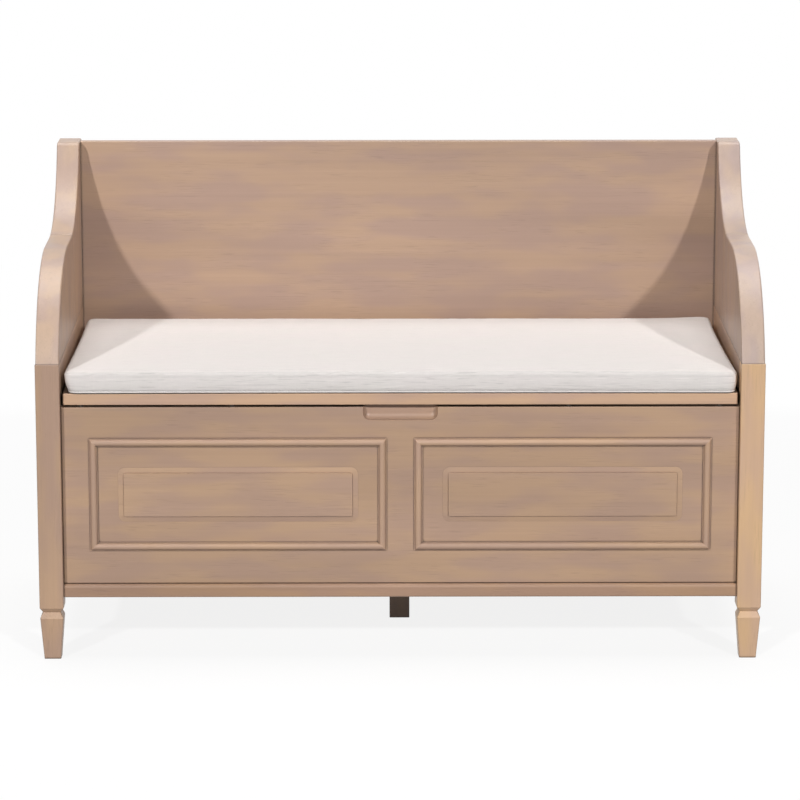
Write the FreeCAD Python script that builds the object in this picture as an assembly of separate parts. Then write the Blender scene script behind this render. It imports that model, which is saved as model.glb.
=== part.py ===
import FreeCAD, Part
import math
import os

# Settle bench with a lift-up seat. Millimetres. X runs along the bench, Y from front to back, Z up.
# The origin is on the floor, under the middle of the bench.
# A "depth" is measured back from the front faces of the legs.

V = FreeCAD.Vector
X = V(1, 0, 0)
Y = V(0, 1, 0)
Z = V(0, 0, 1)

# Overall sizes
overall_width = 1080.0
overall_depth = 496.0
overall_height = 717.0

# Legs with their block feet
leg_side = 36.0
leg_height = 452.0
leg_edge_radius = 2.0
foot_height = 63.5
foot_top_side = 34.8
foot_sole_side = 25.0
neck_height = 72.5
neck_side = 26.8
shaft_bottom = 79.5
joint_chamfer = 1.2

# Wings
wing_thickness = 35.0
arm_height = 596.0
wing_nose_depth = 1.5
shoulder_radius = 202.0
sweep_radius = 190.0
sweep_centre_from_rear = 226.0
wing_top_radius = 12.0
wing_edge_radius = 2.5
tall_board_width = 206.0
seam_chamfer = 1.5

# Sides between the legs
side_board_thickness = 18.0
top_rail_height = 80.0
base_rail_bottom = 95.0
base_rail_height = 20.0
base_rail_proud = 6.0
base_rail_round = 5.8
base_rail_drip_radius = 2.0

# Front panel with its mouldings and fields
front_setback = 12.0
front_board_thickness = 18.0
panel_edge_radius = 1.5
moulding_margin = 41.0
moulding_height = 171.5
moulding_centre_height = 252.0
bead_width = 12.5
bead_proud = 7.1
bead_shoulder_width = 1.3
bead_shoulder_height = 2.2
field_width = 340.0
field_height = 66.0
field_proud = 3.6
field_bevel_width = 8.5
field_bevel_top = 1.5
field_bevel_foot = 0.4
field_step_draft = 0.4
field_corner_radius = 2.0

# Finger scoop in the top edge of the front panel
scoop_width = 111.0
scoop_height = 20.0
scoop_depth = 13.0
scoop_corner_radius = 10.5
scoop_cove_radius = 8.5

# Lid and what it comes down on
lid_bottom = 388.0
lid_thickness = 18.0
lid_gap = 3.0
lid_side_gap = 3.0
lid_edge_radius = 2.0
bumper_radius = 5.0
bumper_end_inset = 30.0
bumper_inner_place = 250.0

# Back
back_setback = 10.0
back_board_thickness = 15.0
backrest_drop = 1.5
rear_rail_thickness = 19.0
hinge_cleat_height = 15.0

# Floor of the store and what carries it
floor_thickness = 9.0
floor_gap = 0.5
cleat_width = 15.0
bearer_height = 18.0
centre_leg_side = 31.0
leg_bolt_radius = 4.0
leg_bolt_length = 45.0
leg_bolt_in_bearer = 14.0

# Butt hinges
hinge_places = (-330.0, 0.0, 330.0)
hinge_axis_from_backrest = 29.0
hinge_length = 64.0
knuckle_count = 5
knuckle_gap = 0.2
knuckle_radius = 3.0
knuckle_clearance = 0.4
knuckle_wood_gap = 0.2
pin_radius = 1.6
pin_clearance = 0.05
pin_head_radius = 2.6
pin_head_height = 1.0
leaf_thickness = 1.5
leaf_gap = 0.5
leaf_height = 17.0
leaf_screw_spread = 22.0

# Folding lid stays
lid_open_angle = 80.0
stay_long = 140.0
stay_short = 110.0
stay_short_angle = 35.5
stay_pivot_drop = 9.0
arm_half_width = 8.0
arm_thickness = 2.0
arm_gap = 0.5
stay_plate_thickness = 2.0
stay_plate_length = 46.0
stay_plate_height = 54.0
stay_plate_corner = 6.0
stay_plate_screw_length = 14.0
stay_plate_screw_inset = 8.0
stay_foot_length = 44.0
stay_foot_width = 24.0
stay_foot_screw_inset = 8.0
rivet_radius = 3.0
rivet_clearance = 0.1
rivet_head_radius = 5.5
rivet_head_height = 1.5
stop_distance = 19.0
stop_clearance = 0.3
stop_thickness = 2.5
stop_length = 9.0

# Screws, dowels and cam fittings
wing_dowel_inset = 30.0
screw_radius = 1.75
screw_head_radius = 3.2
screw_head_height = 1.4
screw_tip_length = 3.0
hinge_screw_length = 18.0
driver_slot_length = 3.6
driver_slot_width = 0.8
driver_slot_depth = 0.9
drill_clearance = 0.05
drill_extra_depth = 0.5
dowel_radius = 4.0
dowel_length = 30.0
cam_radius = 7.5
cam_height = 12.5
cam_distance = 24.0
cam_end_inset = 55.0
cam_bolt_radius = 3.0
cam_bolt_start = 3.0
cam_bolt_tip_radius = 2.5
cam_bolt_tip_length = 11.0
cam_slot_length = 9.0
cam_slot_width = 1.4
cam_slot_depth = 2.0

# Seat cushion
cushion_gap = 0.3
cushion_side_gap = 1.6
cushion_rear_taper = 4.0
cushion_front_depth = 8.5
cushion_rear_gap = 1.0
cushion_edge_height = 28.5
cushion_crown = 6.0
cushion_crown_reach = 150.0
cushion_corner_radius = 22.0
cushion_least_corner = 8.0
cushion_side_draw = 2.5
cushion_edge_round = 8.0
cushion_edge_steps = 6
cushion_crown_steps = 5

# How near counts as the same place, and how far a cut runs past the surface it starts from
same_place = 1e-4
cut_past = 1.0

# Places worked out from the sizes above
half_width = overall_width / 2
inner_half = half_width - leg_side
leg_centre = half_width - leg_side / 2
front_y = -overall_depth / 2
rear_y = overall_depth / 2
leg_rear_y = rear_y - leg_side
leg_front_y = front_y + leg_side
front_face_y = front_y + front_setback
front_back_y = front_face_y + front_board_thickness
back_rear_y = rear_y - back_setback
backrest_y = back_rear_y - back_board_thickness
wing_seam_y = rear_y - tall_board_width
base_rail_top = base_rail_bottom + base_rail_height
base_rail_middle = base_rail_bottom + base_rail_height / 2
front_rail_y = front_face_y - base_rail_proud
side_rail_half = inner_half + side_board_thickness + base_rail_proud
top_rail_bottom = leg_height - top_rail_height
lid_top = lid_bottom + lid_thickness
panel_top = lid_bottom - lid_gap
floor_bottom = base_rail_top - floor_thickness
edge_gap = 2 * leaf_thickness + leaf_gap
hinge_rise = math.sqrt((knuckle_radius + knuckle_wood_gap) ** 2 - (edge_gap / 2) ** 2)
hinge_y = backrest_y - hinge_axis_from_backrest
hinge_z = lid_top + hinge_rise
lid_rear_y = hinge_y - edge_gap / 2
hinge_rail_y = hinge_y + edge_gap / 2
frame_width = (2 * inner_half - 3 * moulding_margin) / 2
frame_centre = (moulding_margin + frame_width) / 2

# Pivots of the right lid stay with the lid shut: case, lid, and the elbow that closes the parallelogram
hinge_point = V(0, hinge_y, hinge_z)
lid_pivot_z = lid_bottom - stay_pivot_drop
lid_pivot_run = math.sqrt(stay_long ** 2 - (hinge_z - lid_pivot_z) ** 2)
lid_pivot = V(0, hinge_y - lid_pivot_run, lid_pivot_z)
short_angle = math.radians(stay_short_angle)
case_pivot = hinge_point - V(0, math.cos(short_angle), math.sin(short_angle)) * stay_short
elbow_pivot = case_pivot + lid_pivot - hinge_point
plate_x = inner_half - stay_plate_thickness
lower_arm_x = plate_x - arm_gap - arm_thickness
upper_arm_x = lower_arm_x - arm_gap - arm_thickness
ear_x = upper_arm_x - arm_gap - stay_plate_thickness


def save(node, *solids):
    """Write one node, checked, as one STEP file."""
    shape = solids[0] if len(solids) == 1 else Part.makeCompound(list(solids))
    if not shape.isValid():
        raise ValueError(node + " is not valid")
    shape.exportStep("parts/" + node + ".step")


def save_pair(node, right_shape):
    """Write a piece of the right end, and the same piece of the left end."""
    save("right_" + node, right_shape)
    save("left_" + node, flipped(right_shape))


def flipped(shape):
    """The same piece at the other end of the bench."""
    return shape.mirror(V(0, 0, 0), X)


def both_ends(shapes):
    """A list of pieces at the right end, and the same at the left end."""
    return shapes + [flipped(shape) for shape in shapes]


def box(low, high):
    """A box between its lowest and highest corner."""
    return Part.makeBox(high[0] - low[0], high[1] - low[1], high[2] - low[2], V(*low))


def rod(radius, start, direction, length):
    """A round bar from a start point along a direction."""
    return Part.makeCylinder(radius, length, start, direction)


def straight_edges(shape, direction, wanted):
    """The straight edges along a direction whose middle passes a test."""
    found = []
    for edge in shape.Edges:
        span = edge.Vertexes[-1].Point - edge.Vertexes[0].Point
        if span.cross(direction).Length < same_place * span.Length and wanted(edge.CenterOfMass):
            found.append(edge)
    return found


def rounded(shape, radius, direction, wanted):
    """Round the straight edges along a direction whose middle passes a test."""
    return shape.makeFillet(radius, straight_edges(shape, direction, wanted))


def polygon(points):
    """A flat face with straight sides."""
    return Part.Face(Part.makePolygon(list(points) + [points[0]]))


def rounded_outline(width, height, corner, centre, across, up):
    """A closed rectangle with round corners, in the plane of two directions."""
    arcs = []
    for turn, (sx, sy) in enumerate(((1, -1), (1, 1), (-1, 1), (-1, -1))):
        hub = centre + across * (sx * (width / 2 - corner)) + up * (sy * (height / 2 - corner))
        sideways = hub + across * (sx * corner)
        upright = hub + up * (sy * corner)
        middle = hub + (across * sx + up * sy) * (corner / math.sqrt(2))
        start, end = (sideways, upright) if turn % 2 else (upright, sideways)
        arcs.append((start, middle, end))
    edges = []
    for turn, (start, middle, end) in enumerate(arcs):
        edges.append(Part.Arc(start, middle, end).toShape())
        edges.append(Part.LineSegment(end, arcs[(turn + 1) % 4][0]).toShape())
    return Part.Wire(edges)


def dowel(centre, direction):
    """A wooden dowel, half in each of the two boards it joins."""
    return rod(dowel_radius, centre - direction * (dowel_length / 2), direction, dowel_length)


def dowel_hole(centre, direction):
    """The holes for a dowel in both boards."""
    length = dowel_length + 2 * drill_extra_depth
    return rod(dowel_radius + drill_clearance, centre - direction * (length / 2), direction, length)


def turned(shape, point, direction):
    """A piece made along +Z, set at a point along a direction."""
    placed = shape.copy()
    placed.Placement = FreeCAD.Placement(point, FreeCAD.Rotation(Z, direction))
    return placed


def screw(point, direction, length):
    """A countersunk wood screw with a cross recess, its head face at the point."""
    head = Part.makeCone(screw_head_radius, screw_radius, screw_head_height, V(0, 0, 0), Z)
    shank = rod(screw_radius, V(0, 0, 0), Z, length - screw_tip_length)
    tip = Part.makeCone(screw_radius, 0, screw_tip_length, Z * (length - screw_tip_length), Z)
    long = driver_slot_length / 2
    wide = driver_slot_width / 2
    slots = [
        box((-long, -wide, -cut_past), (long, wide, driver_slot_depth)),
        box((-wide, -long, -cut_past), (wide, long, driver_slot_depth)),
    ]
    return turned(head.fuse([shank, tip]).removeSplitter().cut(slots), point, direction)


def screw_hole(point, direction, length):
    """The countersink and drilling for a screw."""
    wide = screw_radius + drill_clearance
    head = Part.makeCone(screw_head_radius + drill_clearance, wide, screw_head_height, V(0, 0, 0), Z)
    shank = rod(wide, V(0, 0, 0), Z, length + drill_extra_depth)
    return turned(head.fuse(shank), point, direction)


def cam_disc(face_point, inward):
    """A cam disc, let in flush with a board's face, with its cross recess and the bolt's way in."""
    disc = rod(cam_radius, V(0, 0, 0), Z, cam_height)
    long = cam_slot_length / 2
    wide = cam_slot_width / 2
    slots = [
        box((-long, -wide, -cut_past), (long, wide, cam_slot_depth)),
        box((-wide, -long, -cut_past), (wide, long, cam_slot_depth)),
    ]
    return turned(disc.cut(slots), face_point, inward)


def cam_fitting(edge_x, middle_y, middle_z, face_y):
    """A cam disc and bolt at the right end of a board, with the holes for them."""
    hub = V(edge_x - cam_distance, middle_y, middle_z)
    face_point = V(hub.x, face_y, hub.z)
    way_in = rod(cam_bolt_radius + drill_clearance, hub, X, cam_distance)
    shank = rod(cam_bolt_radius, hub + X * cam_bolt_start, X, cam_distance - cam_bolt_start)
    tip = rod(cam_bolt_tip_radius, V(edge_x, middle_y, middle_z), X, cam_bolt_tip_length)
    pocket = rod(cam_radius + drill_clearance, face_point, -Y, cam_height + drill_extra_depth)
    tip_hole = rod(cam_bolt_tip_radius + drill_clearance, V(edge_x, middle_y, middle_z), X,
                   cam_bolt_tip_length + drill_extra_depth)
    return {
        "disc": cam_disc(face_point, -Y).cut(way_in),
        "bolt": shank.fuse(tip).removeSplitter(),
        "board_holes": [pocket, way_in],
        "leg_hole": tip_hole,
    }


def joinery():
    """The dowels of the right end: each one's middle and direction."""
    dowel_in = dowel_length / 2
    wing_x = inner_half + wing_thickness / 2
    base_x = (inner_half + side_rail_half) / 2
    wing_ys = (
        front_y + leg_side / 2,
        leg_front_y + 2 * wing_dowel_inset,
        wing_seam_y - wing_dowel_inset,
        (wing_seam_y + leg_rear_y) / 2,
        rear_y - leg_side / 2,
    )
    wing = [V(wing_x, y, leg_height) for y in wing_ys]
    top = [V(leg_centre, y, z) for y in (leg_front_y, leg_rear_y)
           for z in (top_rail_bottom + dowel_in, leg_height - dowel_length)]
    side_base = [V(base_x, y, base_rail_middle) for y in (leg_front_y, leg_rear_y)]
    front_base = V(inner_half, front_rail_y + 2 * dowel_radius, base_rail_middle)
    rear_base = V(inner_half, backrest_y + rear_rail_thickness / 2, base_rail_middle)
    hinge_rail_front = V(inner_half, hinge_rail_y + 2 * dowel_radius, lid_bottom + lid_thickness / 2)
    hinge_rail_rear = V(inner_half, backrest_y + back_board_thickness / 2, hinge_rail_front.z)
    return {
        "wing": [(point, Z) for point in wing],
        "side": [(point, Y) for point in top + side_base],
        "across": [(point, X) for point in (front_base, rear_base, hinge_rail_front, hinge_rail_rear)],
    }


def backrest_dowels():
    """The dowels that stand in the hinge rail and hold the foot of the backrest."""
    y = backrest_y + back_board_thickness / 2
    return [(V(x + hinge_length, y, lid_top), Z) for x in hinge_places]


def leg(y):
    """A right leg: a square shaft, a neck and a tapered block foot."""
    sections = (
        (0, foot_sole_side),
        (foot_height, foot_top_side),
        (neck_height, neck_side),
        (shaft_bottom, leg_side),
        (leg_height - joint_chamfer, leg_side),
        (leg_height, leg_side - 2 * joint_chamfer),
    )
    outlines = []
    for height, side in sections:
        centre = V(leg_centre, y, height)
        outlines.append(rounded_outline(side, side, leg_edge_radius, centre, X, Y))
    return Part.makeLoft(outlines, True, True)


def on_circle(centre, radius, angle):
    """A point of a circle that stands in the YZ plane."""
    return centre + V(0, math.cos(angle), math.sin(angle)) * radius


def wing():
    """The right wing before it is parted: shoulder, level arm, sweep and top."""
    shoulder_z = arm_height - shoulder_radius
    nose_angle = math.pi - math.asin((leg_height - shoulder_z) / shoulder_radius)
    shoulder_y = front_y + wing_nose_depth - shoulder_radius * math.cos(nose_angle)
    shoulder = V(inner_half, shoulder_y, shoulder_z)
    sweep = V(inner_half, rear_y - sweep_centre_from_rear, arm_height + sweep_radius)
    crest_angle = math.pi / 2
    low_angle = -math.pi / 2
    top_angle = math.asin((overall_height - sweep.z) / sweep_radius)
    nose = on_circle(shoulder, shoulder_radius, nose_angle)
    crest = on_circle(shoulder, shoulder_radius, crest_angle)
    low = on_circle(sweep, sweep_radius, low_angle)
    top = on_circle(sweep, sweep_radius, top_angle)
    shoulder_middle = on_circle(shoulder, shoulder_radius, (nose_angle + crest_angle) / 2)
    sweep_middle = on_circle(sweep, sweep_radius, (low_angle + top_angle) / 2)
    top_rear = V(inner_half, rear_y, overall_height)
    bottom_rear = V(inner_half, rear_y, leg_height)
    outline = Part.Wire([
        Part.Arc(nose, shoulder_middle, crest).toShape(),
        Part.LineSegment(crest, low).toShape(),
        Part.Arc(low, sweep_middle, top).toShape(),
        Part.LineSegment(top, top_rear).toShape(),
        Part.LineSegment(top_rear, bottom_rear).toShape(),
        Part.LineSegment(bottom_rear, nose).toShape(),
    ])
    solid = Part.Face(outline).extrude(X * wing_thickness)
    solid = rounded(solid, wing_top_radius, X,
                    lambda m: abs(m.z - top.z) < same_place and m.y < (top.y + rear_y) / 2)
    faces = (inner_half, inner_half + wing_thickness)
    shown = []
    for edge in solid.Edges:
        middle = edge.valueAt((edge.FirstParameter + edge.LastParameter) / 2)
        on_face = min(abs(middle.x - place) for place in faces) < same_place
        hidden = abs(middle.z - leg_height) < same_place or abs(middle.y - rear_y) < same_place
        if on_face and not hidden:
            shown.append(edge)
    return solid.makeFillet(wing_edge_radius, shown)


def wing_boards(holes):
    """The arm board and the tall board of the right wing, with a V line where they meet."""
    whole = wing()
    far = overall_height + overall_depth
    boards = []
    for low_y, high_y in ((-far, wing_seam_y), (wing_seam_y, far)):
        board = whole.common(box((0, low_y, 0), (far, high_y, far)))
        edges = straight_edges(board, Z, lambda m: abs(m.y - wing_seam_y) < same_place)
        boards.append(board.makeChamfer(seam_chamfer, edges).cut(holes))
    return boards


def side_top_rail(holes):
    """The thick rail under the right wing."""
    rail = box((inner_half, leg_front_y, top_rail_bottom), (half_width, leg_rear_y, leg_height))
    edges = straight_edges(rail, Y, lambda m: abs(m.z - leg_height) < same_place)
    return rail.makeChamfer(joint_chamfer, edges).cut(holes)


def base_rail(low, high, outward, holes):
    """A base rail whose outer top edge is rounded over where it stands proud of the board."""
    rail = box(low, high)
    along = outward.cross(Z)
    face = max(outward.dot(vertex.Point) for vertex in rail.Vertexes)

    def outer_edge(height):
        return lambda m: abs(outward.dot(m) - face) < same_place and abs(m.z - height) < same_place

    rail = rounded(rail, base_rail_round, along, outer_edge(base_rail_top))
    rail = rounded(rail, base_rail_drip_radius, along, outer_edge(base_rail_bottom))
    return rail.cut(holes)


def front_panel(holes):
    """The front board with eased edges and the finger scoop."""
    board = box((-inner_half, front_face_y, base_rail_top), (inner_half, front_back_y, panel_top))
    edges = [edge for edge in board.Edges if abs(edge.CenterOfMass.y - front_face_y) < same_place]
    return board.makeFillet(panel_edge_radius, edges).cut([scoop()] + holes)


def scoop():
    """What is scooped out of the top edge, for the fingers that lift the lid."""
    bottom = panel_top - scoop_height
    rear = front_face_y + scoop_depth
    half = scoop_width / 2
    shape = box((-half, front_face_y - scoop_depth, bottom), (half, rear, panel_top + scoop_height))
    shape = rounded(shape, scoop_corner_radius, Y, lambda m: abs(m.z - bottom) < same_place)
    edges = []
    for edge in shape.Edges:
        middle = edge.valueAt((edge.FirstParameter + edge.LastParameter) / 2)
        if abs(middle.y - rear) < same_place and middle.z < panel_top + scoop_height - same_place:
            edges.append(edge)
    return shape.makeFillet(scoop_cove_radius, edges)


def bead_stick(corner, along, across, length):
    """A mitred stick of bead moulding, from an outer corner of its frame."""
    out = -Y
    far_shoulder = bead_width - bead_shoulder_width

    def at(u, h):
        return corner + across * u + out * h

    near_quirk = at(bead_shoulder_width, bead_shoulder_height)
    far_quirk = at(far_shoulder, bead_shoulder_height)
    section = Part.Wire([
        Part.LineSegment(at(0, 0), at(0, bead_shoulder_height)).toShape(),
        Part.LineSegment(at(0, bead_shoulder_height), near_quirk).toShape(),
        Part.Arc(near_quirk, at(bead_width / 2, bead_proud), far_quirk).toShape(),
        Part.LineSegment(far_quirk, at(bead_width, bead_shoulder_height)).toShape(),
        Part.LineSegment(at(bead_width, bead_shoulder_height), at(bead_width, 0)).toShape(),
        Part.LineSegment(at(bead_width, 0), at(0, 0)).toShape(),
    ])
    start = corner - out * bead_proud
    mitred = polygon([
        start,
        start + along * length,
        start + along * (length - bead_width) + across * bead_width,
        start + along * bead_width + across * bead_width,
    ]).extrude(out * (3 * bead_proud))
    return Part.Face(section).extrude(along * length).common(mitred)


def save_moulding(end, sign):
    """The four sticks of one moulding frame, which meet in mitres."""
    left = sign * frame_centre - frame_width / 2
    right = sign * frame_centre + frame_width / 2
    low = moulding_centre_height - moulding_height / 2
    high = moulding_centre_height + moulding_height / 2
    right_stick, left_stick = ("inner", "outer") if sign < 0 else ("outer", "inner")

    def corner(x, z):
        return V(x, front_face_y, z)

    save(end + "_moulding_top", bead_stick(corner(right, high), -X, -Z, frame_width))
    save(end + "_moulding_bottom", bead_stick(corner(left, low), X, Z, frame_width))
    save(end + "_moulding_" + right_stick, bead_stick(corner(right, low), Z, -X, moulding_height))
    save(end + "_moulding_" + left_stick, bead_stick(corner(left, high), -Z, X, moulding_height))


def raised_field(sign):
    """A raised field: a flat top, a small step and a bevel round it."""
    sections = (
        (0, field_bevel_width),
        (field_bevel_foot, field_bevel_width),
        (field_bevel_top, field_step_draft),
        (field_proud, 0),
    )
    outlines = []
    for height, grow in sections:
        centre = V(sign * frame_centre, front_face_y - height, moulding_centre_height)
        outlines.append(rounded_outline(field_width + 2 * grow, field_height + 2 * grow,
                                        field_corner_radius + grow, centre, X, Z))
    return Part.makeLoft(outlines, True, True)


def knuckle_spans(place, parity):
    """Where one leaf's knuckles start along X, and their length."""
    pitch = hinge_length / knuckle_count
    starts = []
    for turn in range(knuckle_count):
        if turn % 2 == parity:
            starts.append(place - hinge_length / 2 + turn * pitch + knuckle_gap / 2)
    return starts, pitch - knuckle_gap


def leaf_screws(place, side):
    """Where the three screws of a leaf start, and their direction."""
    y = hinge_y + side * leaf_gap / 2
    z = lid_top - leaf_height / 2
    return [(V(place + step * leaf_screw_spread, y, z), Y * side, hinge_screw_length) for step in (-1, 0, 1)]


def hinge_leaf(place, side, parity):
    """One leaf of a butt hinge: side +1 is screwed to the hinge rail, side -1 to the lid."""
    near = hinge_y + side * leaf_gap / 2
    far = near + side * leaf_thickness
    low_y = min(near, far)
    high_y = max(near, far)
    plate_top = hinge_z - knuckle_radius - knuckle_clearance
    half = hinge_length / 2
    plate = box((place - half, low_y, lid_top - leaf_height), (place + half, high_y, plate_top))
    starts, length = knuckle_spans(place, parity)
    parts = []
    for start in starts:
        parts.append(box((start, low_y, plate_top - leaf_thickness), (start + length, high_y, hinge_z)))
        parts.append(rod(knuckle_radius, V(start, hinge_y, hinge_z), X, length))
    bore = rod(pin_radius + pin_clearance, V(place - half - cut_past, hinge_y, hinge_z), X,
               hinge_length + 2 * cut_past)
    holes = [screw_hole(*at) for at in leaf_screws(place, side)]
    return plate.fuse(parts).removeSplitter().cut([bore] + holes)


def hinge_pin(place):
    """A hinge pin with a small head at each end."""
    start = V(place - hinge_length / 2, hinge_y, hinge_z)
    pin = rod(pin_radius, start, X, hinge_length)
    heads = [rod(pin_head_radius, start - X * pin_head_height, X, pin_head_height),
             rod(pin_head_radius, start + X * hinge_length, X, pin_head_height)]
    return pin.fuse(heads).removeSplitter()


def link(start, end, x, thickness):
    """A flat bar with round ends between two pivots of the right stay."""
    d = (end - start).normalize()
    n = X.cross(d) * arm_half_width
    tip = d * arm_half_width
    base = X * x
    outline = Part.Wire([
        Part.LineSegment(base + start + n, base + end + n).toShape(),
        Part.Arc(base + end + n, base + end + tip, base + end - n).toShape(),
        Part.LineSegment(base + end - n, base + start - n).toShape(),
        Part.Arc(base + start - n, base + start - tip, base + start + n).toShape(),
    ])
    return Part.Face(outline).extrude(X * thickness)


def pivot_hole(point, clearance):
    """A hole through everything on a pivot of the right stay."""
    return rod(rivet_radius + clearance, X * (ear_x - cut_past) + point, X, inner_half - ear_x + 2 * cut_past)


def stay_arm(start, end, x):
    """One arm of the right stay, free to turn on its two rivets."""
    holes = [pivot_hole(start, rivet_clearance), pivot_hole(end, rivet_clearance)]
    return link(start, end, x, arm_thickness).cut(holes)


def rivet(point, low_x, high_x, low_head, high_head):
    """A rivet between two X places, with a head outside one or both of them."""
    parts = []
    if low_head:
        parts.append(rod(rivet_head_radius, X * (low_x - rivet_head_height) + point, X, rivet_head_height))
    if high_head:
        parts.append(rod(rivet_head_radius, X * high_x + point, X, rivet_head_height))
    return rod(rivet_radius, X * low_x + point, X, high_x - low_x).fuse(parts).removeSplitter()


def case_bracket_screws():
    """Where the right case bracket is screwed to the side."""
    along = stay_plate_length / 2 - stay_plate_screw_inset
    up = stay_plate_height / 2 - stay_plate_screw_inset
    places = []
    for dy, dz in ((-along, up), (-along, -up), (along, -up)):
        places.append((V(plate_x, case_pivot.y + dy, case_pivot.z + dz), X, stay_plate_screw_length))
    return places


def case_bracket():
    """The plate that carries the lower arm, with the ear that stops it when the lid is open."""
    centre = X * plate_x + case_pivot
    outline = rounded_outline(stay_plate_length, stay_plate_height, stay_plate_corner, centre, Y, Z)
    plate = Part.Face(outline).extrude(X * stay_plate_thickness)
    turn = math.radians(lid_open_angle)
    shut = (elbow_pivot - case_pivot).normalize()
    along = shut * math.cos(turn) - X.cross(shut) * math.sin(turn)
    behind = V(0, along.z, -along.y)
    near = arm_half_width + stop_clearance
    start = X * lower_arm_x + case_pivot + along * (stop_distance - stop_length / 2) + behind * near
    ear = polygon([
        start,
        start + along * stop_length,
        start + along * stop_length + behind * stop_thickness,
        start + behind * stop_thickness,
    ]).extrude(X * (inner_half - lower_arm_x))
    holes = [screw_hole(*at) for at in case_bracket_screws()]
    holes.append(pivot_hole(case_pivot, drill_clearance))
    return plate.fuse(ear).removeSplitter().cut(holes)


def lid_bracket_screws():
    """Where the right lid bracket is screwed up into the lid."""
    x = ear_x + stay_plate_thickness - stay_foot_width / 2
    z = lid_bottom - stay_plate_thickness
    step = stay_foot_length / 2 - stay_foot_screw_inset
    return [(V(x, lid_pivot.y + sign * step, z), Z, stay_plate_screw_length) for sign in (-1, 1)]


def lid_bracket():
    """The angle under the lid that carries the upper arm."""
    outer_x = ear_x + stay_plate_thickness
    half = stay_foot_length / 2
    foot = box((outer_x - stay_foot_width, lid_pivot.y - half, lid_bottom - stay_plate_thickness),
               (outer_x, lid_pivot.y + half, lid_bottom))
    top = V(0, lid_pivot.y, lid_bottom + arm_half_width)
    ear = link(lid_pivot, top, ear_x, stay_plate_thickness)
    above = box((ear_x - cut_past, lid_pivot.y - half, lid_bottom),
                (outer_x + cut_past, lid_pivot.y + half, lid_top))
    holes = [screw_hole(*at) for at in lid_bracket_screws()]
    holes.append(pivot_hole(lid_pivot, drill_clearance))
    return foot.fuse(ear).removeSplitter().cut([above] + holes)


def cushion_outline(inset, height):
    """The cushion's outline at one height: its sides draw in between the corners."""
    corner = max(cushion_corner_radius - inset, cushion_least_corner)
    front_half = inner_half - cushion_side_gap - inset
    rear_half = front_half - cushion_rear_taper
    low_y = front_y + cushion_front_depth + inset
    high_y = hinge_y - knuckle_radius - cushion_rear_gap - inset
    z = lid_top + cushion_gap + height
    ease = corner * (1 - 1 / math.sqrt(2))
    arcs = []
    for sx, sy in ((1, -1), (1, 1), (-1, 1), (-1, -1)):
        half = front_half if sy < 0 else rear_half
        y = low_y if sy < 0 else high_y
        sideways = V(sx * half, y - sy * corner, z)
        lengthways = V(sx * (half - corner), y, z)
        middle = V(sx * (half - ease), y - sy * ease, z)
        start, end = (lengthways, sideways) if sx * sy < 0 else (sideways, lengthways)
        arcs.append((start, middle, end))
    edges = []
    for turn, (start, middle, end) in enumerate(arcs):
        next_start = arcs[(turn + 1) % 4][0]
        side_middle = (end + next_start) * 0.5
        across = turn % 2 == 0
        inward = V(-side_middle.x, 0, 0) if across else V(0, (low_y + high_y) / 2 - side_middle.y, 0)
        drawn = side_middle + inward.normalize() * cushion_side_draw
        edges.append(Part.Arc(start, middle, end).toShape())
        edges.append(Part.Arc(end, drawn, next_start).toShape())
    return Part.Wire(edges)


def cushion():
    """A thin box cushion: rounded borders and a crowned top."""
    outlines = []
    for step in range(cushion_edge_steps + 1):
        angle = math.pi * (step / cushion_edge_steps - 0.5)
        inset = cushion_edge_round * (1 - math.cos(angle))
        outlines.append(cushion_outline(inset, cushion_edge_height * (1 + math.sin(angle)) / 2))
    for step in range(1, cushion_crown_steps + 1):
        share = step / cushion_crown_steps
        inset = cushion_edge_round + share * cushion_crown_reach
        height = cushion_edge_height + cushion_crown * math.sin(share * math.pi / 2)
        outlines.append(cushion_outline(inset, height))
    return Part.makeLoft(outlines, True, True)


def board_holes(cams):
    """The holes for some cam fittings in the board that they hold, at both ends."""
    return both_ends([hole for cam in cams for hole in cam["board_holes"]])


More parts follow.
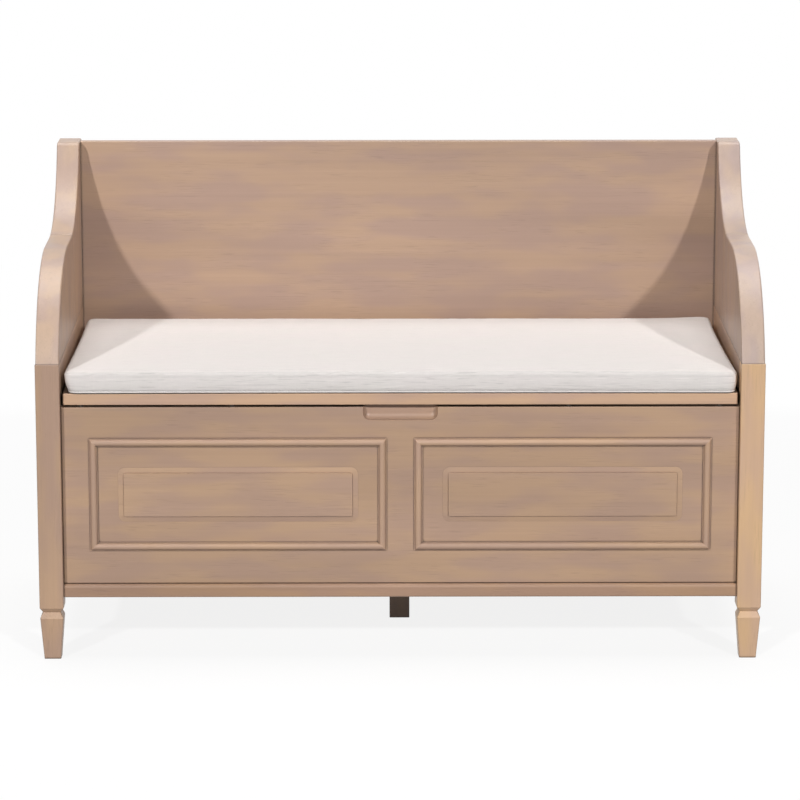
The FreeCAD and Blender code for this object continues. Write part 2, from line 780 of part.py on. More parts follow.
def build():
    """Make and write every piece."""
    os.makedirs("parts", exist_ok=True)

    places = joinery()
    wing_holes = [dowel_hole(*at) for at in places["wing"]]
    side_holes = [dowel_hole(*at) for at in places["side"]]
    across_holes = [dowel_hole(*at) for at in places["across"]]
    foot_holes = [dowel_hole(*at) for at in backrest_dowels()]
    right_dowels = [dowel(*at) for group in places.values() for at in group]
    save("dowels", *both_ends(right_dowels), *[dowel(*at) for at in backrest_dowels()])

    front_middle = front_face_y + front_board_thickness / 2
    back_middle = backrest_y + back_board_thickness / 2
    front_cams = [cam_fitting(inner_half, front_middle, z, front_back_y)
                  for z in (base_rail_top + cam_end_inset, panel_top - cam_end_inset)]
    low_cams = [cam_fitting(inner_half, back_middle, z, back_rear_y)
                for z in (base_rail_top + cam_end_inset, lid_bottom - cam_end_inset)]
    backrest_cams = [cam_fitting(inner_half, back_middle, z, back_rear_y)
                     for z in (leg_height + cam_end_inset, overall_height - cam_end_inset)]
    all_cams = front_cams + low_cams + backrest_cams
    leg_holes = [cam["leg_hole"] for cam in all_cams]
    save("cam_discs", *both_ends([cam["disc"] for cam in all_cams]))
    save("cam_bolts", *both_ends([cam["bolt"] for cam in all_cams]))

    drilled = wing_holes + side_holes + across_holes + leg_holes
    save_pair("front_leg", leg(front_y + leg_side / 2).cut(drilled))
    save_pair("rear_leg", leg(rear_y - leg_side / 2).cut(drilled))

    arm_board, tall_board = wing_boards(wing_holes + leg_holes)
    save_pair("wing_arm_board", arm_board)
    save_pair("wing_tall_board", tall_board)

    save_pair("side_top_rail", side_top_rail(wing_holes + side_holes + across_holes))
    bracket_screws = [screw_hole(*at) for at in case_bracket_screws()]
    save_pair("side_panel", box(
        (inner_half, leg_front_y, base_rail_top),
        (inner_half + side_board_thickness, leg_rear_y, top_rail_bottom)).cut(bracket_screws))
    save_pair("side_base_rail", base_rail(
        (inner_half, leg_front_y, base_rail_bottom),
        (side_rail_half, leg_rear_y, base_rail_top), X, side_holes))
    save("front_base_rail", base_rail(
        (-inner_half, front_rail_y, base_rail_bottom), (inner_half, front_back_y, base_rail_top),
        -Y, both_ends(across_holes)))
    save("rear_base_rail", base_rail(
        (-inner_half, backrest_y, base_rail_bottom),
        (inner_half, backrest_y + rear_rail_thickness, base_rail_top), Y, both_ends(across_holes)))

    save("front_panel", front_panel(board_holes(front_cams)))
    for end, sign in (("left", -1), ("right", 1)):
        save_moulding(end, sign)
        save(end + "_raised_field", raised_field(sign))

    rail_leaf_screws = [at for place in hinge_places for at in leaf_screws(place, 1)]
    lid_leaf_screws = [at for place in hinge_places for at in leaf_screws(place, -1)]
    hinge_rail = box((-inner_half, hinge_rail_y, lid_bottom), (inner_half, back_rear_y, lid_top))
    save("hinge_rail", hinge_rail.cut(
        both_ends(across_holes) + foot_holes + [screw_hole(*at) for at in rail_leaf_screws]))
    backrest_top = overall_height - backrest_drop
    backrest = box((-inner_half, backrest_y, lid_top), (inner_half, back_rear_y, backrest_top))
    backrest = rounded(backrest, panel_edge_radius, X, lambda m: abs(m.z - backrest_top) < same_place)
    save("backrest_panel", backrest.cut(board_holes(backrest_cams) + foot_holes))
    save("lower_back_panel", box(
        (-inner_half, backrest_y, base_rail_top),
        (inner_half, back_rear_y, lid_bottom)).cut(board_holes(low_cams)))
    cleat_y = backrest_y - cleat_width
    save("hinge_rail_cleat", box(
        (-inner_half, cleat_y, lid_bottom - hinge_cleat_height), (inner_half, backrest_y, lid_bottom)))

    save("front_floor_cleat", box(
        (-inner_half, front_back_y, base_rail_bottom),
        (inner_half, front_back_y + cleat_width, floor_bottom)))
    save("rear_floor_cleat", box(
        (-inner_half, cleat_y, base_rail_bottom), (inner_half, backrest_y, floor_bottom)))
    save("floor_board", box(
        (floor_gap - inner_half, front_back_y + floor_gap, floor_bottom),
        (inner_half - floor_gap, backrest_y - floor_gap, base_rail_top)))
    bearer_bottom = floor_bottom - bearer_height
    bolt_start = V(0, 0, bearer_bottom + leg_bolt_in_bearer - leg_bolt_length)
    bolt_hole = rod(leg_bolt_radius + drill_clearance, bolt_start, Z, leg_bolt_length)
    half_leg = centre_leg_side / 2
    save("centre_bearer", box(
        (-half_leg, front_back_y + cleat_width, bearer_bottom),
        (half_leg, cleat_y, floor_bottom)).cut(bolt_hole))
    save("centre_leg", rounded(
        box((-half_leg, -half_leg, 0), (half_leg, half_leg, bearer_bottom)),
        leg_edge_radius, Z, lambda m: True).cut(bolt_hole))
    save("centre_leg_bolt", rod(leg_bolt_radius, bolt_start, Z, leg_bolt_length))

    lid_half = inner_half - lid_side_gap
    lid = box((-lid_half, front_face_y, lid_bottom), (lid_half, lid_rear_y, lid_top))
    shown = [edge for edge in lid.Edges if abs(edge.CenterOfMass.y - lid_rear_y) > same_place]
    lid_bracket_holes = [screw_hole(*at) for at in lid_bracket_screws()]
    save("seat_lid", lid.makeFillet(lid_edge_radius, shown).cut(
        both_ends(lid_bracket_holes) + [screw_hole(*at) for at in lid_leaf_screws]))
    bumper_xs = (inner_half - bumper_end_inset, bumper_inner_place)
    save("lid_bumpers", *both_ends([
        rod(bumper_radius, V(x, front_middle, panel_top), Z, lid_gap) for x in bumper_xs]))

    save("hinge_rail_leaves", *[hinge_leaf(place, 1, 0) for place in hinge_places])
    save("hinge_lid_leaves", *[hinge_leaf(place, -1, 1) for place in hinge_places])
    save("hinge_pins", *[hinge_pin(place) for place in hinge_places])

    save_pair("stay_case_bracket", case_bracket())
    save_pair("stay_lid_bracket", lid_bracket())
    save_pair("stay_lower_arm", stay_arm(case_pivot, elbow_pivot, lower_arm_x))
    save_pair("stay_upper_arm", stay_arm(lid_pivot, elbow_pivot, upper_arm_x))
    save_pair("stay_elbow_rivet", rivet(
        elbow_pivot, upper_arm_x - rivet_clearance, lower_arm_x + arm_thickness, True, True))
    case_rivet = rivet(case_pivot, lower_arm_x - rivet_clearance, inner_half, True, False)
    save("stay_case_rivets", *both_ends([case_rivet]))
    lid_rivet = rivet(lid_pivot, ear_x, upper_arm_x + arm_thickness + rivet_clearance, True, True)
    save("stay_lid_rivets", *both_ends([lid_rivet]))

    case_screws = both_ends([screw(*at) for at in case_bracket_screws()])
    save("case_screws", *case_screws, *[screw(*at) for at in rail_leaf_screws])
    lid_screws = both_ends([screw(*at) for at in lid_bracket_screws()])
    save("lid_screws", *lid_screws, *[screw(*at) for at in lid_leaf_screws])

    save("seat_cushion", cushion())


build()
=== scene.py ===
# %% [markdown]
# # A settle bench with a seat cushion
# The bench is a lidded store box between four square legs, with shaped wings, a plain back and a thin
# cushion. Its boards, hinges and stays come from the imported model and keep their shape. This lesson
# gives them their wood, metal and rubber, sews the cushion, and sets up the light and the camera.

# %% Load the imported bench
import math

import bmesh
import bpy
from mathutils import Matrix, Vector, kdtree, noise


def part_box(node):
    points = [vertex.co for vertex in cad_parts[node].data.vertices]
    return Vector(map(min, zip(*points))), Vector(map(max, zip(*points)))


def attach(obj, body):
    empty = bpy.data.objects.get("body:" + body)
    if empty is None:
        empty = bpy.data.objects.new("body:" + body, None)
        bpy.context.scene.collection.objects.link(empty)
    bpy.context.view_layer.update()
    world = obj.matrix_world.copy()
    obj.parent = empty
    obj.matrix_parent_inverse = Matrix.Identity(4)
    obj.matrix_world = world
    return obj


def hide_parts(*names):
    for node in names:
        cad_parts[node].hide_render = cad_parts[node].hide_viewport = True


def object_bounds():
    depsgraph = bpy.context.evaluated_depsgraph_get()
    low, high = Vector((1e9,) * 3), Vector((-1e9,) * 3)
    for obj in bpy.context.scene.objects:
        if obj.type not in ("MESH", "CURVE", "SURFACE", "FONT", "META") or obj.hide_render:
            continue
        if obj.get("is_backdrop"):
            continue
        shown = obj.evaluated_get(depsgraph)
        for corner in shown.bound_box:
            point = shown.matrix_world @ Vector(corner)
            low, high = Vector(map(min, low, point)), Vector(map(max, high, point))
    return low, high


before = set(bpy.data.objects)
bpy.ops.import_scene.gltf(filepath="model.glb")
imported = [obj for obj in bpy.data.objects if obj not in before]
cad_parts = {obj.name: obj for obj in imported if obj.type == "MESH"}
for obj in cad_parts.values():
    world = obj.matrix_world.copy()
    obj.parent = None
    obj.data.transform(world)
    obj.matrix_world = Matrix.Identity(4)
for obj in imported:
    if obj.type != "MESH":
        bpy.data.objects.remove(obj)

bench_low, bench_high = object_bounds()
bench_size = bench_high - bench_low
print("bench size in mm:", [round(1000 * side) for side in bench_size])
print("pieces from the model:", len(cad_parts))

# %% [markdown]
# ## The camera
# A product picture is taken from far away with a long lens, so that the legs stay upright. The camera
# could be turned by hand until it looks right. Here its place, tilt and lens were worked out from
# corners of the bench whose sizes are known, and are simply written down.

# %% Camera
camera_place = Vector((-0.0346, -5.6511, 1.5728))
camera_tilt_down = 12.264
camera_turn = -0.36
camera_lens = 168.24

camera_data = bpy.data.cameras.new("camera")
camera_data.lens = camera_lens
camera_data.sensor_width = 36.0
camera = bpy.data.objects.new("camera", camera_data)
camera.location = camera_place
camera.rotation_euler = (math.radians(90 - camera_tilt_down), 0, math.radians(camera_turn))
bpy.context.scene.collection.objects.link(camera)
bpy.context.scene.camera = camera
bpy.context.scene.view_settings.view_transform = "Standard"
print("camera distance in m:", round(camera_place.length, 2))

# %% [markdown]
# ## Shader sums as plain Python
# A finish is a sum of many small patterns, and each plus or times is a node. Placing those nodes one by
# one is slow to read. One small class wraps a socket, so that an expression such as 1 - mask adds its
# own Math nodes, and one method adds every other kind of node.


# %% Sockets that can be added and multiplied
class Socket:
    """An output of a shader node that takes part in plain sums."""

    def __init__(self, finish, output):
        self.finish = finish
        self.output = output

    def sum(self, operation, *values):
        inputs = dict(enumerate(values))
        return self.finish.node("ShaderNodeMath", {"operation": operation}, inputs)

    def of(self, operation):
        """A Math operation on this value alone, such as FLOOR or ABSOLUTE."""
        return self.sum(operation, self)

    def __add__(self, other):
        return self.sum("ADD", self, other)

    def __radd__(self, other):
        return self.sum("ADD", other, self)

    def __sub__(self, other):
        return self.sum("SUBTRACT", self, other)

    def __rsub__(self, other):
        return self.sum("SUBTRACT", other, self)

    def __mul__(self, other):
        return self.sum("MULTIPLY", self, other)

    def __rmul__(self, other):
        return self.sum("MULTIPLY", other, self)

    def __truediv__(self, other):
        return self.sum("DIVIDE", self, other)

    def __rtruediv__(self, other):
        return self.sum("DIVIDE", other, self)

    def __pow__(self, other):
        return self.sum("POWER", self, other)


# %% A finish and its nodes
class Finish:
    """The nodes of a new material or world, with one method that adds nodes of any kind."""

    def __init__(self, owner):
        self.owner = owner
        owner.use_nodes = True
        self.tree = owner.node_tree
        self.tree.nodes.clear()

    def node(self, kind, settings=None, inputs=None, output=0):
        made = self.tree.nodes.new(kind)
        for key, value in (settings or {}).items():
            setattr(made, key, value)
        for key, value in (inputs or {}).items():
            if isinstance(value, Socket):
                self.tree.links.new(value.output, made.inputs[key])
            else:
                made.inputs[key].default_value = value
        return Socket(self, made.outputs[output]) if made.outputs else made

    def object_place(self):
        return self.node("ShaderNodeTexCoord", output="Object")

    def pattern(self, place, sizes, offset=0.0, detail=0.0, rough=0.5):
        """Noise whose blotches have the given sizes in metres along X, Y and Z."""
        scale = tuple(1 / size for size in sizes)
        shift = (offset, 1.7 * offset, 2.3 * offset)
        spot = self.node("ShaderNodeMapping", None, {"Vector": place, "Scale": scale, "Location": shift})
        inputs = {"Vector": spot, "Scale": 1.0, "Detail": detail, "Roughness": rough}
        return self.node("ShaderNodeTexNoise", None, inputs)

    def step(self, value, start, stop):
        """A mask that rises smoothly from 0 at start to 1 at stop."""
        inputs = {"Value": value, "From Min": start, "From Max": stop}
        return self.node("ShaderNodeMapRange", {"interpolation_type": "SMOOTHSTEP"}, inputs)

    def mix(self, mask, first, second, blend="MIX"):
        """The first colour where the mask is 0 and the second where it is 1."""
        settings = {"data_type": "RGBA", "blend_type": blend}
        return self.node("ShaderNodeMix", settings, {0: mask, 6: first, 7: second}, output=2)

    def part(self, vector, axis):
        """One coordinate of a vector, named X, Y or Z."""
        return self.node("ShaderNodeSeparateXYZ", None, {0: vector}, axis)

    def dimmed(self, mask, darkest):
        """A shade that is 1 where the mask is 1, and the darkest one where it is 0."""
        return darkest + (1 - darkest) * mask

    def open_space(self, reach, start, stop):
        """0 in corners that are closed within the reach, in metres, and 1 in the open."""
        seen_sky = self.node("ShaderNodeAmbientOcclusion", {"samples": 8}, {"Distance": reach}, "AO")
        return self.step(seen_sky, start, stop)

    def shaded(self, colour, shade):
        """The colour times a number."""
        grey = self.node("ShaderNodeCombineColor", None, {"Red": shade, "Green": shade, "Blue": shade})
        return self.mix(1.0, colour, grey, "MULTIPLY")

    def bump(self, height, distance, strength=1.0):
        inputs = {"Height": height, "Distance": distance, "Strength": strength}
        return self.node("ShaderNodeBump", None, inputs)

    def surface(self, **values):
        """A Principled shader as the whole surface. An underscore stands for a space."""
        inputs = {key.replace("_", " "): value for key, value in values.items()}
        self.show(self.node("ShaderNodeBsdfPrincipled", None, inputs))

    def show(self, shader):
        self.node("ShaderNodeOutputMaterial", None, {"Surface": shader})


def new_finish(name):
    return Finish(bpy.data.materials.new(name))


def dress(piece, material):
    """Puts the material on a piece in place of what it had."""
    piece.data.materials.clear()
    piece.data.materials.append(material)


def rgb(red, green, blue, tone=1.0):
    """A screen colour from 0 to 255 as a linear one, made lighter or darker by the tone."""
    linear = []
    for share in (red / 255, green / 255, blue / 255):
        value = share / 12.92 if share <= 0.04045 else ((share + 0.055) / 1.055) ** 2.4
        linear.append(min(1.0, value * tone))
    return (*linear, 1.0)


print("screen grey 188 is linear", round(rgb(188, 188, 188)[0], 3))

# %% [markdown]
# ## Stained wood
# The bench is a pale fine-grained wood under a taupe stain and a satin lacquer. An image of a board
# would repeat, so the wood is built from noise stretched along the grain: soft patches where the stain
# took pinker or yellower, long fibre streaks, and short pores that gather in clusters. The arrises are
# lighter, partly as lacquer and stain rubbed thin and partly as a painted highlight, and the tight
# corners between pieces get painted shade. Each stain is a pink and a yellow screen colour, and the
# wings' inner faces get a darker, redder painted shade.

# %% Stains
grain_axes = {"x": 0, "y": 1, "z": 2}
stains = {
    "taupe": ((181, 150, 130), (190, 157, 129)),
    "ashen": ((180, 151, 135), (189, 158, 134)),
    "greyed": ((179, 154, 140), (188, 161, 139)),
    "silvered": ((180, 158, 149), (189, 165, 148)),
    "honey": ((194, 161, 134), (203, 168, 130)),
    "russet": ((180, 145, 122), (188, 151, 121)),
    "bare": ((196, 164, 128), (212, 184, 146)),
}
# Painted shade for the wings' inner faces, which come out darker and redder.
painted_inner_shade = (0.87, 0.83, 0.78, 1.0)


# %% Sizes of the wood's patterns, in metres along the grain and across it
patch_size = (0.12, 0.034)
drift_size = (0.55, 0.10)
streak_size = (0.70, 0.008)
fibre_size = (0.17, 0.0016)
cluster_size = (0.09, 0.02)
pore_size = (0.03, 0.0014)


def along_grain(grain, along, across):
    """The sizes of a pattern that is long along the grain and narrow across it."""
    sizes = [across, across, across]
    sizes[grain_axes[grain]] = along
    return sizes


# %% [markdown]
# The wood's own figure comes first, as one number that makes the stain lighter or darker. A second
# number holds the rest: arrises made lighter, partly as stain rubbed thin and partly as a painted
# highlight, painted shade in tight corners, and a fine dark line where two boards meet flush. Little
# light gets down between the cushion and the wings, so the boards there get painted shade from looking
# further around for what closes them in, and that shade follows the cushion when it moves.


# %% Wood figure
def wood_figure(finish, place, grain, offset):
    """The figure's shade, its streaks, and its relief of fibres and pores."""
    drift = finish.pattern(place, along_grain(grain, *drift_size), offset + 1.9, detail=1.0)
    streaks = finish.pattern(place, along_grain(grain, *streak_size), offset + 3.1, detail=4.0, rough=0.62)
    fibres = finish.pattern(place, along_grain(grain, *fibre_size), offset + 5.3, detail=2.0)
    groups = finish.pattern(place, along_grain(grain, *cluster_size), offset + 7.9)
    clusters = finish.step(groups, 0.42, 0.62)
    grains = finish.pattern(place, along_grain(grain, *pore_size), offset + 9.7)
    pores = finish.step(grains, 0.62, 0.74) * clusters
    flecks = finish.step(1 - grains, 0.66, 0.78) * clusters
    shade = (0.80 + 0.40 * drift) * (0.895 + 0.16 * streaks + 0.05 * fibres)
    shade = shade * (1 - 0.08 * pores) * (1 + 0.04 * flecks)
    return shade, streaks, 0.4 * fibres - pores, pores


# %% Painted highlight and shade, worn arrises and joints
arris_radius = 0.0016
arris_wear_and_highlight_gain = 0.16
painted_corner_shade_reach = 0.005
painted_cushion_shade_reach = 0.06
joint_line = (0.0004, 0.0016)


def wear_joints_and_painted_shade(finish, place, joints, painted_shade_beside_cushion):
    """Painted highlight and wear on arrises, painted shade in corners and by the cushion, dark joints."""
    facing = finish.node("ShaderNodeNewGeometry", output="Normal")
    eased = finish.node("ShaderNodeBevel", {"samples": 4}, {"Radius": arris_radius})
    dot_product = {"operation": "DOT_PRODUCT"}
    turned = finish.node("ShaderNodeVectorMath", dot_product, {0: facing, 1: eased}, "Value")
    # Lighter arrises: partly stain rubbed thin, partly a painted highlight.
    arris = finish.step(1 - turned, 0.02, 0.22)
    # Painted shade in tight corners, by how closed in the surface is.
    shade = (1 + arris_wear_and_highlight_gain * arris) * finish.dimmed(finish.open_space(painted_corner_shade_reach, 0.52, 0.86), 0.34)
    for axis, level in joints:
        off_joint = (finish.part(place, axis) - level).of("ABSOLUTE")
        shade = shade * finish.dimmed(finish.step(off_joint, *joint_line), 0.55)
    # Painted shade in the deep gaps beside the cushion.
    if painted_shade_beside_cushion:
        shade = shade * finish.dimmed(finish.open_space(painted_cushion_shade_reach, 0.30, 0.78), 0.20)
    return shade


# %% Wood
def wood(name, grain, offset, stain="taupe", tone=1.0, gloss=0.38, joints=(), painted_shade_beside_cushion=False,
         inner_face=None):
    """A board's wood. Each board has its own offset, so that no two show the same grain.

    A wing gives where its inner face lies from the middle, and that face gets darker, redder painted
    shade.
    """
    finish = new_finish(name)
    place = finish.object_place()
    pink, yellow = stains[stain]
    patches = finish.pattern(place, along_grain(grain, *patch_size), offset, detail=1.5)
    colour = finish.mix(finish.step(patches, 0.36, 0.64), rgb(*pink, tone), rgb(*yellow, tone))
    shade, streaks, relief, pores = wood_figure(finish, place, grain, offset)
    shade = shade * wear_joints_and_painted_shade(finish, place, joints, painted_shade_beside_cushion)
    # The wing's inner face gets a darker, redder painted shade.
    if inner_face:
        from_middle = finish.part(place, "X").of("ABSOLUTE")
        outside = finish.step(from_middle, inner_face + 0.0004, inner_face + 0.0012)
        colour = finish.mix(outside, finish.mix(1.0, colour, painted_inner_shade, "MULTIPLY"), colour)
    finish.surface(
        Base_Color=finish.shaded(colour, shade),
        Roughness=gloss + 0.12 * (streaks - 0.5) + 0.15 * pores,
        Normal=finish.bump(relief, 0.00012, 0.6),
    )
    return finish.owner


# %% [markdown]
# Every board gets wood of its own: its grain runs along its length, and some boards took the stain
# lighter, greyer or yellower than others, as the wings and the right front leg did. The number is the
# board's tone. Where two boards meet flush, the wood shows a fine dark line at the joint.

# %% Wood for every board
boards = {
    "backrest_panel": ("x", "ashen", 0.89),
    "lower_back_panel": ("x", "ashen", 0.93),
    "front_panel": ("x", "taupe", 0.93),
    "left_raised_field": ("x", "taupe", 0.95),
    "right_raised_field": ("x", "taupe", 0.93),
    "seat_lid": ("x", "taupe", 1.22),
    "hinge_rail": ("x", "taupe", 1.00),
    "front_base_rail": ("x", "russet", 0.80),
    "rear_base_rail": ("x", "taupe", 0.90),
    "centre_leg": ("z", "taupe", 0.62),
    "left_front_leg": ("z", "taupe", 0.93),
    "right_front_leg": ("z", "honey", 1.18),
    "left_rear_leg": ("z", "taupe", 0.95),
    "right_rear_leg": ("z", "taupe", 1.02),
    "left_side_panel": ("y", "taupe", 0.95),
    "right_side_panel": ("y", "taupe", 0.98),
}
wings = (("left", "greyed", 1.01, 1.06), ("right", "silvered", 1.04, 0.99))
for side, wing_stain, arm_tone, tall_tone in wings:
    boards[f"{side}_wing_arm_board"] = ("z", wing_stain, arm_tone)
    boards[f"{side}_wing_tall_board"] = ("z", wing_stain, tall_tone)
    boards[f"{side}_side_top_rail"] = ("y", "taupe", 0.97)
    boards[f"{side}_side_base_rail"] = ("y", "taupe", 0.93)
    boards[f"{side}_moulding_top"] = ("x", "taupe", 0.99)
    boards[f"{side}_moulding_bottom"] = ("x", "taupe", 0.99)
    boards[f"{side}_moulding_outer"] = ("z", "taupe", 0.99)
    boards[f"{side}_moulding_inner"] = ("z", "taupe", 0.99)
leg_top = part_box("left_front_leg")[1].z
wing_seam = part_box("left_wing_arm_board")[1].y
wing_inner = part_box("right_wing_arm_board")[0].x
offset_step = 1.37
bare_offset = 71
flush_joints = {
    "front_leg": (("Z", leg_top),),
    "wing_arm_board": (("Z", leg_top), ("Y", wing_seam)),
    "wing_tall_board": (("Y", wing_seam),),
}

for number, (board, (grain, stain, tone)) in enumerate(sorted(boards.items())):
    joints = flush_joints.get(board.partition("_")[2], ())
    is_wing = "wing" in board
    # The wings and the lid get painted shade beside the cushion, the wings also on their inner faces.
    stained = wood(f"stained wood of {board}", grain, offset_step * number, stain, tone, joints=joints,
                   painted_shade_beside_cushion=is_wing or board == "seat_lid",
                   inner_face=wing_inner if is_wing else None)
    dress(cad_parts[board], stained)
print("stained boards:", len(boards))

bare_boards = {
    "floor_board": "x",
    "front_floor_cleat": "x",
    "rear_floor_cleat": "x",
    "hinge_rail_cleat": "x",
    "centre_bearer": "y",
    "dowels": "x",
}
for number, (board, grain) in enumerate(sorted(bare_boards.items())):
    bare = wood(f"bare wood of {board}", grain, bare_offset + number, "bare", gloss=0.7)
    dress(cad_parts[board], bare)
print("bare pieces:", len(bare_boards))

# %% [markdown]
# ## Metal and rubber
# Hinges, stays and screws are stamped steel with a bright zinc plate, faintly mottled and a little
# smeared by the rolling of the strip. The cam discs are cast and duller. The lid comes down on four
# soft, slightly clear buttons, coloured dark as painted shade, so that they stay dark in the gap under
# the lid.


# %% Plated steel and cast zinc
def metal(name, low, high, polish, mottle):
    finish = new_finish(name)
    place = finish.object_place()
    cloud = finish.pattern(place, (mottle, mottle, mottle), 2.0, detail=3.0)
    brush = finish.pattern(place, (0.012, 0.0004, 0.0004), 4.0, detail=2.0)
    finish.surface(
        Metallic=1.0,
        Base_Color=finish.mix(finish.step(cloud, 0.3, 0.7), rgb(*low), rgb(*high)),
        Roughness=polish + 0.16 * (cloud - 0.5) + 0.10 * (brush - 0.5),
        Normal=finish.bump(brush, 0.00002, 0.5),
    )
    return finish.owner


plated = metal("zinc-plated steel", (178, 182, 188), (202, 203, 204), 0.30, 0.006)
cast = metal("cast zinc alloy", (150, 152, 154), (176, 177, 177), 0.46, 0.003)


# %% Clear rubber
def soft_clear_rubber():
    finish = new_finish("clear soft rubber")
    place = finish.object_place()
    haze = finish.pattern(place, (0.002, 0.002, 0.002), 6.0, detail=2.0)
    finish.surface(
        # A dark colour as painted shade, so the buttons stay dark in the gap under the lid.
        Base_Color=finish.mix(haze, rgb(58, 53, 48), rgb(76, 70, 64)),
        Roughness=0.40 + 0.2 * haze,
        Transmission_Weight=0.35,
        IOR=1.43,
        Normal=finish.bump(haze, 0.00005, 0.4),
    )
    return finish.owner


# %% Metal and rubber on their pieces
steel_pieces = ["hinge_lid_leaves", "hinge_pins", "hinge_rail_leaves", "lid_screws", "case_screws",
                "cam_bolts", "centre_leg_bolt", "stay_case_rivets", "stay_lid_rivets"]
for side in ("left", "right"):
    for stay_piece in ("case_bracket", "lid_bracket", "lower_arm", "upper_arm", "elbow_rivet"):
        steel_pieces.append(f"{side}_stay_{stay_piece}")
other_finishes = {"cam_discs": cast, "lid_bumpers": soft_clear_rubber()}
other_finishes.update({piece: plated for piece in steel_pieces})
for piece, material in other_finishes.items():
    dress(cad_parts[piece], material)
print("metal and rubber pieces:", len(other_finishes))
left_over = set(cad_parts) - set(boards) - set(bare_boards) - set(other_finishes)
print("still to be made:", sorted(left_over))

# %% [markdown]
# ## The seat cushion
# The cushion is a thin slab of foam in a sewn cover: a top and a bottom panel joined by a border, with a
# plain seam above and a narrow welt below. A box with a bevel would look like a tablet of soap. Here a
# box is cut into a fine grid, drawn in between its corners, and blown up a little by the cloth solver,
# so that the cloth itself finds the crown and the soft corners. The foam sets how far it may move.

# %% Cushion blank
cushion_low, cushion_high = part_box("seat_cushion")
border_swell = 0.0016
edge_height = 0.0302
corner_radius = 0.013
rear_taper = 0.006
side_draw = 0.0022
front_tucks = ((-1, 0.008), (1, 0.003))
tuck_reach = 0.07
ear_height = 0.0026
ear_reach = 0.06
cloth_columns = 154
cloth_rows = 66
border_rows = 4

middle = (cushion_low + cushion_high) / 2
half = (cushion_high - cushion_low) / 2 - Vector((border_swell, border_swell, 0))
base_z = cushion_low.z
seam_z = base_z + edge_height


def cut_along(bm, axis, cuts):
    """Divides every edge that runs along the axis, so that the faces become strips."""
    chosen = []
    for edge in bm.edges:
        run = edge.verts[1].co - edge.verts[0].co
        if abs(run[axis]) > 0.99 * run.length:
            chosen.append(edge)
    bmesh.ops.subdivide_edges(bm, edges=chosen, cuts=cuts)


def tailored(point):
    """Rounds the corners, draws in the sides, swells the border, and tucks in the front corners."""
    x, y = point.x - middle.x, point.y - middle.y
    over_x, over_y = abs(x) - (half.x - corner_radius), abs(y) - (half.y - corner_radius)
    if over_x > 0 and over_y > 0:
        shrink = max(over_x, over_y) / math.hypot(over_x, over_y)
        x = math.copysign(half.x - corner_radius + over_x * shrink, x)
        y = math.copysign(half.y - corner_radius + over_y * shrink, y)
    share_x, share_y = x / half.x, y / half.y
    drawn_x = side_draw * (1 - share_y ** 2) + rear_taper * (1 + share_y) / 2
    drawn_y = side_draw * (1 - share_x ** 2)
    x -= share_x * drawn_x
    y -= share_y * drawn_y
    level = (point.z - base_z) / edge_height
    swell = border_swell * math.sin(math.pi * level) if 0 < level < 1 else 0.0
    x *= 1 + swell / half.x
    y *= 1 + swell / half.y
    for side, tuck in front_tucks:
        away = math.hypot(x - side * half.x, y + half.y)
        x -= side * tuck * (1 - level) * math.exp(-((away / tuck_reach) ** 2))
    away = math.hypot(x - half.x, y - half.y)
    ear = ear_height * level * math.exp(-((away / ear_reach) ** 2))
    return Vector((middle.x + x, middle.y + y, point.z + ear))


bm = bmesh.new()
bmesh.ops.create_cube(bm, size=1.0)
for edge in bm.edges:
    edge.seam = abs(edge.verts[0].co.z - edge.verts[1].co.z) < 0.5
bmesh.ops.scale(bm, vec=(2 * half.x, 2 * half.y, edge_height), verts=bm.verts)
bmesh.ops.translate(bm, vec=(middle.x, middle.y, base_z + edge_height / 2), verts=bm.verts)
cut_along(bm, 0, cloth_columns - 1)
cut_along(bm, 1, cloth_rows - 1)
cut_along(bm, 2, border_rows - 1)
for vert in bm.verts:
    vert.co = tailored(vert.co)
cushion_mesh = bpy.data.meshes.new("seat_cushion_cover")
bm.to_mesh(cushion_mesh)
bm.free()
cushion = bpy.data.objects.new("seat_cushion_cover", cushion_mesh)
bpy.context.scene.collection.objects.link(cushion)
seam_edges = sum(edge.use_seam for edge in cushion_mesh.edges)
print("cushion blank:", len(cushion_mesh.polygons), "faces,", seam_edges, "seam edges")

# %% [markdown]
# The foam holds the cover back: the further the cloth has gone, the harder the next millimetre is. That
# is a smooth cap on each point's travel. It is wider upwards than sideways, it grows with the distance
# from the seams, so that the crown rises gently, and there is none downwards, where the cushion lies
# on the lid.

# %% Blow up the cover
sideways_give = 0.0008
edge_give = 0.0006
crown_give = 0.0066
crown_reach = 0.075
cloth_pressure = 1.6
cloth_frames = 20


def foam_give(point):
    """How far the foam lets this point of the cover go along X, Y and Z."""
    inset = max(0.0, min(half.x - abs(point.x - middle.x), half.y - abs(point.y - middle.y)))
    upwards = edge_give + (crown_give - edge_give) * (1 - math.exp(-inset / crown_reach))
    return (sideways_give, sideways_give, upwards)


def held_back(travel, give):
    return give * math.tanh(travel / give)


def blown_up(piece):
    """Where the cloth solver takes each point of the piece in a few frames of light pressure."""
    cloth = piece.modifiers.new("cloth", "CLOTH")
    cloth.settings.use_pressure = True
    cloth.settings.uniform_pressure_force = cloth_pressure
    cloth.settings.effector_weights.gravity = 0.0
    cloth.settings.quality = 5
    cloth.settings.tension_stiffness = 60.0
    cloth.settings.compression_stiffness = 60.0
    cloth.settings.bending_stiffness = 2.0
    for frame_number in range(1, cloth_frames + 1):
        bpy.context.scene.frame_set(frame_number)
    depsgraph = bpy.context.evaluated_depsgraph_get()
    shaped = piece.evaluated_get(depsgraph).data
    places = [vert.co.copy() for vert in shaped.vertices]
    piece.modifiers.remove(cloth)
    bpy.context.scene.frame_set(1)
    return places


